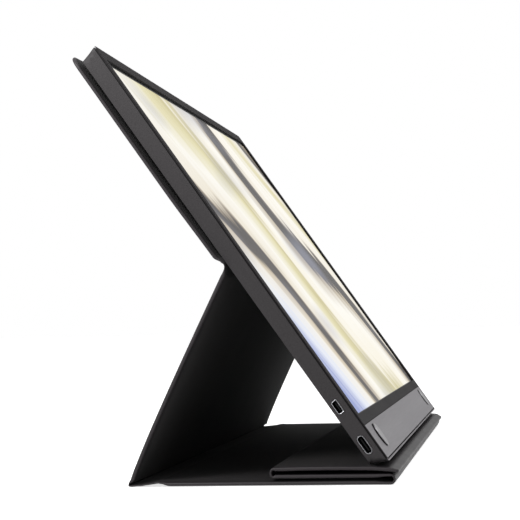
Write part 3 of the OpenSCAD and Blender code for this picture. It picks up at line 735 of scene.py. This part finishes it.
# cover panels
cover = {"wide": 362.7, "thick": 2.2, "skin": 0.7, "hem": 3.05, "lining": 0.55, "proud": 0.05, "inset": 0.9,
         "edge": 0.8, "grid": 7, "wave": 0.1, "waveLong": (70, 60), "waveOver": 12, "thinOver": 4.0,
         "pinchOver": 7.0, "pressOver": 5.0, "bowSkew": 0.62, "flareOver": 70.0, "flareFrom": (4.5, 0.35),
         "worn": 0.5, "liningFoot": 0.35, "liningEdge": 0.5, "square": 2.2}
board = {"middle": 1.1, "up": 0.4, "down": 0.38, "edge": 0.2, "pinch": 0.7, "clear": 0.1}
edgeRows = (0, 0.08, 0.25, 0.5, 0.9, 1.5, 2.2, 3.0, 3.1, 4.0, 5.5)
# free: is that end an outer edge; corner: its radius; thin and pinch: how much the outside and the inside
# draw in there; pressed: shares of the thickness that the sides lose, outside and inside; bow and flare:
# bellying out, along and at the sides; lip: how much wider the leather is turned over at the first end
anyPanel = {"free": (False, False), "corner": (0, 0), "thin": (0, 0), "pinch": (0, 0), "bow": 0, "flare": 0,
            "lip": 0}
ownPanels = {
    "back": {"length": 116.9, "place": onBack, "body": "back_panel", "free": (False, True),
             "corner": (0, 8.0), "thin": (1.0, 0), "pressed": (0.06, 0.24), "flare": 1.55},
    "leg": {"length": 98.895, "place": onLeg, "body": "leg", "pressed": (0.08, 0.12), "bow": 0.95},
    "base": {"length": 100.3, "place": onBase, "body": "base", "thin": (0, 1.1), "pinch": (0.55, 0),
             "pressed": (0.08, 0.2)},
    "flap": {"length": 48.2, "place": onFlap, "body": "flap", "pinch": (0.55, 0), "pressed": (0.08, 0.22)},
    "ledge": {"length": 54.2, "place": onLedge, "body": "ledge", "free": (True, False), "corner": (1.5, 0),
              "pressed": (0.24, 0.03), "lip": 10.0},
}
panels = {key: {**anyPanel, **own} for key, own in ownPanels.items()}


# a value that is full at one end of a panel and fades out over a few millimetres
def nearEnds(panel, s, amounts, over):
    return amounts[0] * (1 - smooth(s / over)) + amounts[1] * (1 - smooth((panel["length"] - s) / over))


def pressAt(pressed, d):
    fade = 1 - smooth(d / cover["pressOver"])
    return [share * fade for share in pressed]


# the standing leg bellies outwards, most in its lower half, and the back's sides stand off the monitor
def bowAt(panel, x, s):
    along = min(max(s / panel["length"], 0), 1)
    side = smooth(1 - (cover["wide"] / 2 - abs(x)) / cover["flareOver"])
    near, share = cover["flareFrom"]
    standOff = 0.5 * smooth(s / near) + 0.5 * smooth(along / share)
    return -panel["bow"] * sin(pi * along ** cover["bowSkew"]) - panel["flare"] * side * standOff


# grid places from one edge to the other, close together where the edge turns
def edgeStops(length, radius):
    near = [d for d in sorted({*edgeRows, radius / 2, radius}) if d < length / 2 - 1]
    count = max(2, round((length - 2 * near[-1]) / cover["grid"]))
    middle = [near[-1] + (length - 2 * near[-1]) * i / count for i in range(1, count)]
    return near + middle + [length - d for d in reversed(near)]


# how full a sheet is at a distance from its edge
def edgeRound(d, reach):
    t = 1 - min(d / reach, 1)
    return (1 - t ** cover["square"]) ** (1 / cover["square"])


# a plate over a panel, inset at its outer edges and cut square at a fold;
# its heights depend on the distance to the edge
def makePlate(name, key, inset, foldInset, upper, lower, material, lip=0):
    panel = panels[key]
    start, end = (inset if free else foldInset for free in panel["free"])
    start += lip
    wide, length = cover["wide"] - 2 * inset, panel["length"] - start - end
    radii = [max(r - inset, 0.01) if free else 0 for r, free in zip(panel["corner"], panel["free"])]
    columns, rows = edgeStops(wide, max(radii)), edgeStops(length, max(radii))
    if panel["lip"] and not inset:  # rows on both sides of the step behind the wide hem
        step = panel["lip"] + cover["hem"]
        rows = sorted([s for s in rows if abs(s - step) > 1] + [step - 0.05, step + 0.05])
    points, faces, rubbed, index = [], [], [], {}

    def rounded(x, s):
        r = radii[0] if s < length / 2 else radii[1]
        fromEnds = [s if panel["free"][0] else length, length - s if panel["free"][1] else length]
        across = abs(x) - (wide / 2 - r)
        beyond = r - min(s, length - s)
        if r > 0 and across > 0 and beyond > 0:
            a, b = across / r, beyond / r
            a, b = a * sqrt(1 - b * b / 2), b * sqrt(1 - a * a / 2)
            x = (wide / 2 - r + a * r) * (1 if x > 0 else -1)
            s = (r - b * r) if s < length / 2 else (length - r + b * r)
            return x, s, max(r * (1 - hypot(a, b)), 0)
        return x, s, max(min(wide / 2 - abs(x), *fromEnds), 0)

    lastColumn, lastRow = len(columns) - 1, len(rows) - 1
    for i, column in enumerate(columns):
        for j, row in enumerate(rows):
            x, s, d = rounded(column - wide / 2, row)
            closed = i in (0, lastColumn) or (j, True) in ((0, panel["free"][0]), (lastRow, panel["free"][1]))
            s += start
            spot = Vector((x / cover["waveLong"][0], s / cover["waveLong"][1], len(key)))
            sway = cover["wave"] * noise.noise(spot)
            sway *= smooth(min(d, s, panel["length"] - s) / cover["waveOver"])
            for side, height in (("up", upper(d, s)), ("down", lower(d, s))):
                if closed and side == "down":
                    index[side, i, j] = index["up", i, j]
                    continue
                index[side, i, j] = len(points)
                points.append(panel["place"](x, s, height + sway + bowAt(panel, x, s)))
                rubbed.append(cover["worn"] * (1 - smooth(d / cover["edge"])))
    for i in range(lastColumn):
        for j in range(lastRow):
            for side in ("up", "down"):
                corners = [index[side, i + a, j + b] for a, b in ((0, 0), (1, 0), (1, 1), (0, 1))]
                faces.append(corners if side == "up" else corners[::-1])
        for j in (0, lastRow):  # the square ends at the folds
            corners = [index["up", i, j], index["up", i + 1, j], index["down", i + 1, j], index["down", i, j]]
            corners = list(dict.fromkeys(corners))
            if len(corners) > 2:
                faces.append(corners)
    return makePiece(name, points, faces, material, "panel", rubbed)


def makePanel(key):
    panel = panels[key]
    half = cover["thick"] / 2

    def pinch(s):
        return nearEnds(panel, s, panel["pinch"], cover["pinchOver"])

    # the outside and the lining's side of the whole panel before its edge is rounded
    def faces(d, s):
        thin = nearEnds(panel, s, panel["thin"], cover["thinOver"])
        thick = cover["thick"] - thin - pinch(s)
        outer, inner = pressAt(panel["pressed"], d)
        return thin + outer * thick, cover["thick"] - pinch(s) - inner * thick

    def rim(d, s, side):
        a, b = faces(d, s)
        return (a + b) / 2 + side * (b - a) / 2 * edgeRound(d, cover["edge"])

    def skinTop(d, s):  # hem, then the recess that the board and the lining lie in
        recess = min(d, s - panel["lip"], panel["length"] - s) > cover["hem"]
        return cover["skin"] if recess else rim(d, s, 1)

    def skinLow(d, s):
        return rim(d, s, -1)

    deep, foot = cover["lining"] + cover["proud"], cover["liningFoot"]

    def liningTop(d, s):
        bed = faces(d + cover["inset"], s)[1] - cover["lining"]
        return bed + deep * (foot + (1 - foot) * edgeRound(d, cover["liningEdge"]))

    def liningLow(d, s):
        bed = faces(d + cover["inset"], s)[1] - cover["lining"]
        return bed + deep * foot * (1 - edgeRound(d, cover["liningEdge"]))

    def boardTop(d, s):
        return board["middle"] + board["up"] * edgeRound(d, board["edge"]) - board["pinch"] * pinch(s)

    def boardLow(d, s):
        return board["middle"] - board["down"] * edgeRound(d, board["edge"])

    body, boardIn, lip = panel["body"], cover["hem"] + board["clear"], panel["lip"]
    skin = makePlate(key + "Leather", key, 0, 0, skinTop, skinLow, leather)
    lining = makePlate(key + "Lining", key, cover["inset"], 0, liningTop, liningLow, microfibre, lip)
    fibre = plain["pressed fibreboard"]
    stiffener = makePlate(key + "Board", key, boardIn, boardIn, boardTop, boardLow, fibre, lip)
    settle(skin, body, "cover_leather", key + "_leather")
    settle(lining, body, "cover_lining", key + "_lining")
    settle(stiffener, body, "stiff_board", key + "_board")


for key in panels:
    makePanel(key)
print("cover panels made")

# soft folds: leather that bends between two panels, with the lining carried across it
folds = {"layer": 0.3, "steps": 50, "ripple": 0.14, "rippleLong": (9, 0.4), "lap": 0.2, "lapIn": 0.04,
         "lapLift": 0.02, "overhang": 1.0, "linedEdge": 0.4, "leastFull": 0.03, "floor": -0.05,
         "turnSteps": 28}


def bezier(a, b, c, d, count):
    path = []
    for i in range(count + 1):
        t = i / count
        w = ((1 - t) ** 3, 3 * t * (1 - t) ** 2, 3 * t * t * (1 - t), t ** 3)
        path.append(tuple(w[0] * a[k] + w[1] * b[k] + w[2] * c[k] + w[3] * d[k] for k in (0, 1)))
    return path


def beside(origin, direction, along, out=0.0):
    return (origin[0] + direction[0] * along - direction[1] * out,
            origin[1] + direction[1] * along + direction[0] * out)


# the same path moved to its left by one amount for each point
def leftOf(path, amounts):
    moved = []
    for k, (y, z) in enumerate(path):
        before, after = path[max(k - 1, 0)], path[min(k + 1, len(path) - 1)]
        dy, dz = after[0] - before[0], after[1] - before[1]
        size = hypot(dy, dz)
        moved.append((y - dz / size * amounts[k], z + dy / size * amounts[k]))
    return moved


# a sheet between a path in the Y-Z plane and the one to its left, with the panels' edges and faint wrinkles;
# layer picks a thin sheet on the first or on the second of its sides instead
def makeSheet(name, path, thick, pressed, liningFirst, layer, material):
    wide = cover["wide"] - (2 * cover["inset"] if layer else 0)
    half, last = wide / 2, len(path) - 1
    reaches = edgeRows[:6]
    inner = half - reaches[-1]
    stations = [r - half for r in reaches]
    stations += [inner * (2 * i / folds["steps"] - 1) for i in range(1, folds["steps"])]
    stations += [half - r for r in reversed(reaches)]
    far = leftOf(path, thick)
    points, rubbed = [], []
    for station in stations:
        reach = cover["wide"] / 2 - abs(station)
        plump = edgeRound(half - abs(station), folds["linedEdge"] if layer else cover["edge"])
        plump = max(plump, folds["leastFull"])
        ring = []
        for side, order in ((1, range(last + 1)), (-1, range(last, -1, -1))):
            for k in order:
                outer, inner = pressAt([mixed(*pair, k / last) for pair in zip(*pressed)], reach)
                shares = (inner, outer) if liningFirst else (outer, inner)
                across = Vector(far[k]) - Vector(path[k])
                a, b = Vector(path[k]) + across * shares[0], Vector(far[k]) - across * shares[1]
                across.normalize()
                if layer == "first":
                    a, b = a - across * cover["proud"], a + across * folds["layer"]
                elif layer == "second":
                    a, b = b - across * folds["layer"], b + across * cover["proud"]
                place = (a + b) / 2 + (a - b) / 2 * plump * side
                fade = sin(pi * k / last) if 0 < k < last else 0
                spot = Vector((station / folds["rippleLong"][0], k * folds["rippleLong"][1], len(path)))
                place += across * folds["ripple"] * fade * noise.noise(spot)
                ring.append(place)
        points += [Vector((station, place.x, max(place.y, folds["floor"]))) * mm for place in ring]
        rubbed += [cover["worn"] * (1 - smooth(reach / cover["edge"]))] * len(ring)
    around = 2 * (last + 1)
    faces = ringFaces(len(stations), around)
    for first in (0, (len(stations) - 1) * around):
        for k in range(last):
            faces.append((first + k, first + k + 1, first + around - 2 - k, first + around - 1 - k))
    return makePiece(name, points, faces, material, "fold", rubbed)


# the leather of a fold and its lining, both bending between the same two bodies
def makeFold(name, keys, path, thick, liningFirst, start, end, *nodes):
    bodies = [panels[key]["body"] for key in keys]
    pressed = [panels[key]["pressed"] for key in keys]
    skin = makeSheet(name + "Skin", path, thick, pressed, liningFirst, None, leather)
    layer = "first" if liningFirst else "second"
    lining = makeSheet(name + "Lining", path, thick, pressed, liningFirst, layer, microfibre)
    for piece, slotName in ((skin, "cover_leather"), (lining, "cover_lining")):
        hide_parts(*nodes)
        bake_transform(piece, *bodies, start=tuple(Vector((0,) + start) * mm), end=tuple(Vector((0,) + end) * mm))


# the outside of a panel at one of its ends, a little way in, as a place in the Y-Z plane
def outsideAt(key, atEnd, back):
    panel = panels[key]
    s = panel["length"] - back if atEnd else back
    thin = nearEnds(panel, s, panel["thin"], cover["thinOver"])
    place = panel["place"](0, s, thin + folds["lapLift"] * (back > 0) + bowAt(panel, 0, s)) / mm
    return (place.y, place.z)


low, up = stand["lowAxis"], stand["upAxis"]
full, lap, lapIn = cover["thick"], folds["lap"], folds["lapIn"]
# leaves and arrives: along and out of the panel there; thinBy, thickFrom and thickOver count steps
upper = {"leaves": (2.8, 0.5), "arrives": (-1.9, 1.2), "steps": 24, "least": 0.6, "thinBy": 12,
         "thickFrom": 17, "thickOver": 7, "hinge": 2.97}


def makeUpperFold():
    legTop, backFoot, thinBy = outsideAt("leg", True, 0), outsideAt("back", False, 0), upper["thinBy"]
    path = bezier(legTop, beside(legTop, legUp, *upper["leaves"]), beside(backFoot, lean, *upper["arrives"]),
                  backFoot, upper["steps"])
    last = full - panels["back"]["thin"][0]
    thick = [mixed(full, upper["least"], i / thinBy) for i in range(thinBy)]
    thick += [mixed(upper["least"], last, (i - upper["thickFrom"]) / upper["thickOver"])
              for i in range(thinBy, len(path))]
    path = [outsideAt("leg", True, lap)] + path + [outsideAt("back", False, lap)]
    makeFold("upperFold", ("leg", "back"), path, [full - lapIn] + thick + [thick[-1] - lapIn], False,
             beside(up, legUp, -upper["hinge"]), beside(up, lean, upper["hinge"]), "upper_fold")


spine = {"short": 1.0, "arch": 0.45, "archBy": 0.12, "fall": 1.5, "steps": 16, "cornerVia": (0.7, -0.05),
         "arrives": (-2.4, -0.3), "cornerSteps": 14, "least": (0.9, 0.8), "thinBy": 6, "thickFrom": 8,
         "thickOver": 5, "endLess": 0.2, "hinge": (0.2, 1.0)}


def makeSpine():
    start, rise = outsideAt("base", True, 0), panels["base"]["thin"][1]
    long = low[0] - spine["short"] - start[0]
    path = []
    for i in range(spine["steps"] + 1):  # it arches off the table beside the base, then comes down
        u = i / spine["steps"]
        height = rise + spine["arch"] * sin(pi / 2 * min(u / spine["archBy"], 1))
        path.append((start[0] + long * u, height * (1 - u) ** spine["fall"]))
    legFoot, (across, down) = outsideAt("leg", False, 0), spine["cornerVia"]
    path += bezier(path[-1], (low[0] + across, down), beside(legFoot, legUp, *spine["arrives"]), legFoot,
                   spine["cornerSteps"])[1:]
    # thin where it creases, so that it lies low under the monitor when the stand opens flat
    least, corner = spine["least"]
    thick = [mixed(full - rise, least, i / spine["thinBy"]) for i in range(spine["steps"] + 1)]
    thick += [mixed(corner, full - spine["endLess"], (i - spine["thickFrom"]) / spine["thickOver"])
              for i in range(spine["cornerSteps"])]
    near, far = spine["hinge"]
    makeFold("spine", ("base", "leg"), [outsideAt("base", True, lap)] + path + [outsideAt("leg", False, lap)],
             [full - rise - lapIn] + thick + [full - lapIn], False,
             (low[0] - near, low[1] + near), (low[0], low[1] + far), "lower_fold", "spine_strip")


# a turn of half a circle from one panel to the next; towards is where the panels lie
def halfTurn(axis, radius, towards, upwards):
    near, far, lift, count = folds["overhang"], folds["overhang"] + lap, folds["lapLift"], folds["turnSteps"]
    path = [(axis[0] + towards * far, -radius + lift), (axis[0] + towards * near, -radius)]
    path += [(axis[0] - towards * radius * cos(t), radius * sin(t))
             for t in (pi * (i / count - 0.5) for i in range(count + 1))]
    path += [(axis[0] + towards * near, radius), (axis[0] + towards * far, radius - lift)]
    return [(y, axis[1] + (z if upwards else -z)) for y, z in path]


# full at both ends of a half turn and thinner in its middle
def turnThick(most, least, thinBy):
    count = folds["turnSteps"]
    middle = [mixed(most, least, min(i, count - i) / thinBy) for i in range(count + 1)]
    return [most - lapIn, most] + middle + [most, most - lapIn]


frontTurn = {"radius": 2.45, "least": 1.3, "thinBy": 6, "hinge": 1.5}
rearTurn = {"radius": 2.65, "least": 1.4, "thinBy": 5, "hinge": 1.7}


def makeTurns():
    (y, z), form, most = stand["frontAxis"], frontTurn, full - panels["base"]["pinch"][0]
    makeFold("frontFold", ("flap", "base"), halfTurn((y, z), form["radius"], 1, False),
             turnThick(most, form["least"], form["thinBy"]), False,
             (y, z + form["hinge"]), (y, z - form["hinge"]), "front_fold")
    (y, z), form = stand["rearAxis"], rearTurn
    makeFold("rearFold", ("flap", "ledge"), halfTurn((y, z), form["radius"], -1, True),
             turnThick(full, form["least"], form["thinBy"]), True,
             (y, z - form["hinge"]), (y, z + form["hinge"]), "rear_fold")


makeUpperFold()
makeSpine()
makeTurns()
print("folds made")

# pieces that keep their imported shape
keepShape = {
    "plated sheet steel": ["panel_tray", "shield_can", "board_screws", "holding_plates", "holding_magnets"],
    "cast optical sheet": ["diffuser_sheet", "light_guide", "reflector_sheet", "led_bar"],
    "silicone lamp dome": ["led_lamps"],
    "solder mask on glass fibre": ["main_board", "driver_board", "menu_board"],
    "moulded black resin": ["board_chips", "power_plunger", "power_switch", "menu_plunger", "menu_switch"],
    "etched polyimide film": ["driver_films"],
    "extruded ribbon cable": ["ribbon_cable", "menu_cable"],
}
for name, nodes in keepShape.items():
    for node in nodes:
        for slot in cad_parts[node].material_slots:
            slot.material = plain[name]
print("inner pieces finished")

# floor and light
studio = {"floor": ("#f0f0f0", "#f2f2f2"), "speckMm": 2.5, "floorHalf": 8, "floorZ": -0.0002,
          "floorGlow": 0.72, "around": 0.24}
lamps = {  # place, what it points at and width in metres, and power
    "keyLamp": ((-0.8, -1.6, 1.2), (0, 0, 0.1), 1.2, 6.6),
    "fillLamp": ((-0.42, 0.22, 0.4), (-0.18, 0.08, 0.2), 0.2, 3.6),
    "rimLamp": ((0.2, -1.0, 1.9), (0, -0.05, 0.05), 1.0, 13.5),
}


# 1 for the rays that show the backdrop: straight from the camera, or by way of gloss or glass
def backdropRays(tree):
    path = addNode(tree, "LightPath").outputs
    seen = path["Is Camera Ray"]
    for kind in ("Is Transmission Ray", "Is Glossy Ray"):
        seen = addNode(tree, "Math", {"operation": "MAXIMUM"}, links={0: seen, 1: path[kind]})
    return seen


def makeFloor():
    material, tree, shader, coords = startMaterial("pale painted floor", {"Roughness": 0.8})
    speck = addNode(tree, "TexNoise", inputs={"Scale": 1 / (studio["speckMm"] * mm), "Detail": 2.0},
                    links={"Vector": coords["Object"]})
    tone = addNode(tree, "ValToRGB", {"stops": list(zip((0.3, 0.7), studio["floor"]))}, links={"Fac": speck})
    tree.links.new(outOf(tone), shader.inputs["Base Color"])
    # the floor shows white, and keeps the shadow, without lighting the object
    glow = addNode(tree, "Math", {"operation": "MULTIPLY"}, inputs={1: studio["floorGlow"]},
                   links={0: backdropRays(tree)})
    tree.links.new(outOf(glow), shader.inputs["Emission Strength"])
    shader.inputs["Emission Color"].default_value = (1, 1, 1, 1)
    material.cycles.emission_sampling = "NONE"  # it lights nothing, so no light is looked for there
    half = studio["floorHalf"]
    points = [Vector((x * half, y * half, studio["floorZ"])) for x, y in ((-1, -1), (1, -1), (1, 1), (-1, 1))]
    floor = makePiece("floor", points, [(0, 1, 2, 3)], material)
    floor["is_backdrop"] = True


def makeLamp(name, place, target, wide, power):
    data = bpy.data.lights.new(name, "AREA")
    data.shape, data.size, data.energy = "SQUARE", wide, power
    lamp = addObject(name, data)
    lamp.location = place
    lamp.rotation_euler = (Vector(target) - Vector(place)).to_track_quat("-Z", "Y").to_euler()


def makeWorld():
    world = bpy.data.worlds.new("studio")
    bpy.context.scene.world = world
    world.use_nodes = True
    tree = world.node_tree
    tree.nodes.clear()
    soft = addNode(tree, "Background", inputs={"Color": (1, 1, 1, 1), "Strength": studio["around"]})
    white = addNode(tree, "Background", inputs={"Color": (1, 1, 1, 1), "Strength": 1.0})
    both = addNode(tree, "MixShader", links={0: backdropRays(tree), 1: soft, 2: white})
    addNode(tree, "OutputWorld", links={"Surface": both})


makeFloor()
makeWorld()
for name, form in lamps.items():
    makeLamp(name, *form)
bpy.context.scene.view_settings.view_transform = "Standard"
print("studio made")

low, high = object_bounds()
